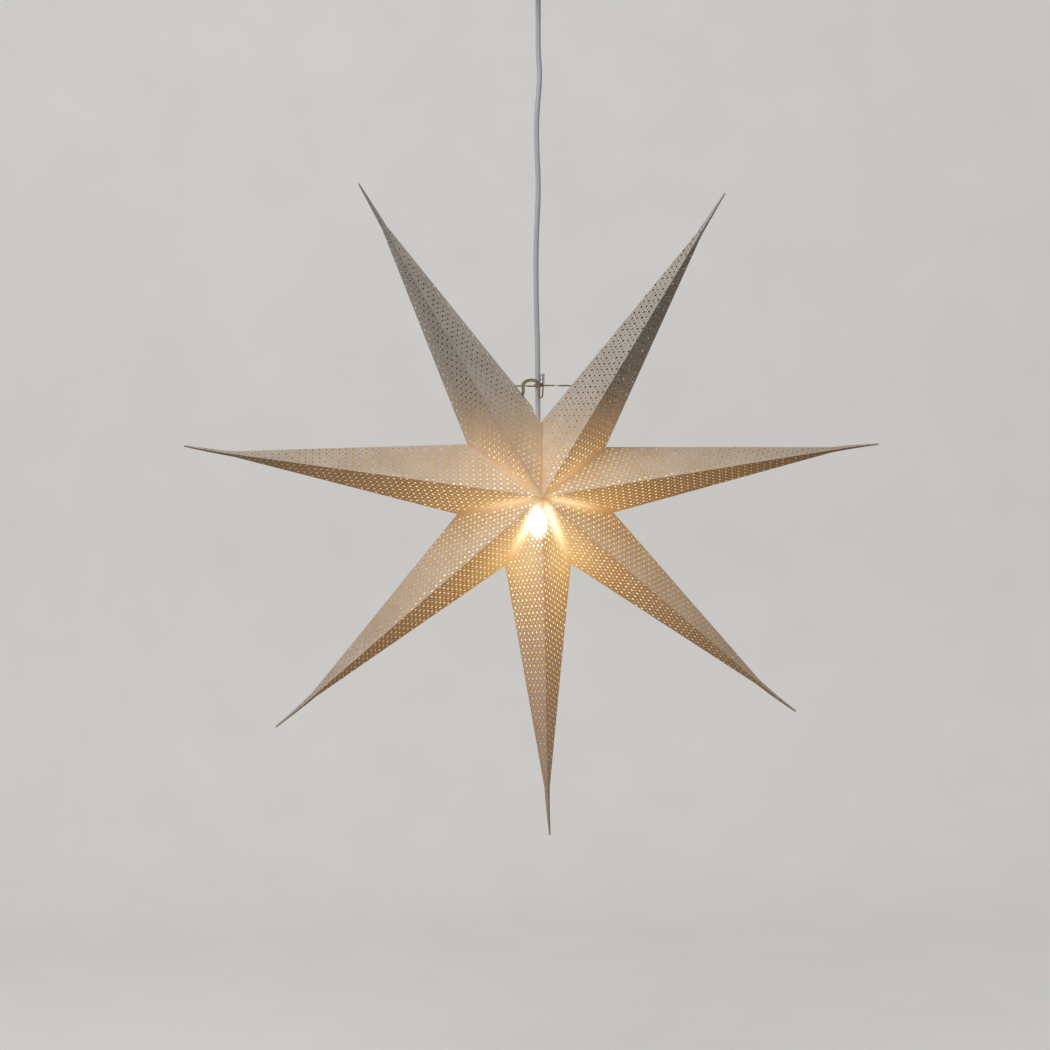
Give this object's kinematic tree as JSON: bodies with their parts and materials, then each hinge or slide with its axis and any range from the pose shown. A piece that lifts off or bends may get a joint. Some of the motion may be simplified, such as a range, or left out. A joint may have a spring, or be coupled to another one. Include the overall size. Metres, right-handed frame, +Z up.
{
  "type": "paper star lantern",
  "caption": "Folded paper star pendant lamp on a mains cord, with a ceiling cup, lampholder, bulb, and a string that closes the star round the cord.",
  "frame": {"origin": "on the ceiling, at the middle of the ceiling strap's top face", "axes": "+Z up, +X to the right as the picture sees the star, +Y away from the viewer"},
  "size_m": [0.7798, 0.134, 1.0046],
  "materials": {
    "paper": "matt, perforated with rows of small holes",
    "string": "twisted twine",
    "bright_metal": "polished",
    "cord_sheath": "smooth white cord sheath, satin",
    "core_insulation": "core insulation",
    "white_moulding": "moulded, satin",
    "ceramic": "unglazed",
    "brass": "pressed",
    "nickel_shell": "nickel plated",
    "black_glass": "glossy fused glass",
    "solder": "soldered",
    "frosted_glass": "frosted inside",
    "clear_glass": "clear",
    "tungsten": "drawn wire",
    "zinc_steel": "zinc plated",
    "grommet_rubber": "soft rubber"
  },
  "bodies": {
    "ceiling": {"ceiling_strap": "zinc_steel", "ceiling_hook": "zinc_steel", "hook_nut": "zinc_steel", "cord_hanger": "white_moulding", "terminal_block": "white_moulding", "terminal_screws": "brass", "ceiling_leads": "core_insulation", "cord_upper": "cord_sheath"},
    "cup": {"ceiling_cup": "white_moulding", "cup_grommet": "grommet_rubber", "cup_screw": "white_moulding"},
    "pendant": {"cord_lower": "cord_sheath", "cord_grip": "white_moulding", "lampholder_cap": "white_moulding", "lampholder_body": "white_moulding", "socket_liner": "brass", "contact_insert": "ceramic", "centre_contact": "brass", "lampholder_screws": "brass", "lamp_leads": "core_insulation"},
    "star": {"point_right": "paper", "point_upper_right": "paper", "point_upper_left": "paper", "point_left": "paper", "point_lower_left": "paper", "point_bottom": "paper", "point_lower_right": "paper", "tie_string": "string", "string_ferrule": "bright_metal", "seam_clips": "bright_metal"},
    "bulb": {"bulb_base": "nickel_shell", "bulb_insulator": "black_glass", "bulb_button": "solder", "bulb_glass": "frosted_glass", "bulb_stem": "clear_glass", "filament": "tungsten"}
  },
  "joints": [
    {"name": "cup_slide", "type": "slide", "parent": "ceiling", "child": "cup", "axis": [0, 0, -1], "range_m": [0, 0.04]},
    {"name": "swing", "type": "hinge", "parent": "ceiling", "child": "pendant", "pos_m": [0, 0, -0.105], "axis": [0, 1, 0], "range_deg": [-15, 15]},
    {"name": "star_turn", "type": "hinge", "parent": "pendant", "child": "star", "pos_m": [0, 0, -0.62], "axis": [0, 0, 1], "continuous": true},
    {"name": "bulb_out", "type": "slide", "parent": "pendant", "child": "bulb", "axis": [0, 0, -1], "range_m": [0, 0.03]}
  ]
}
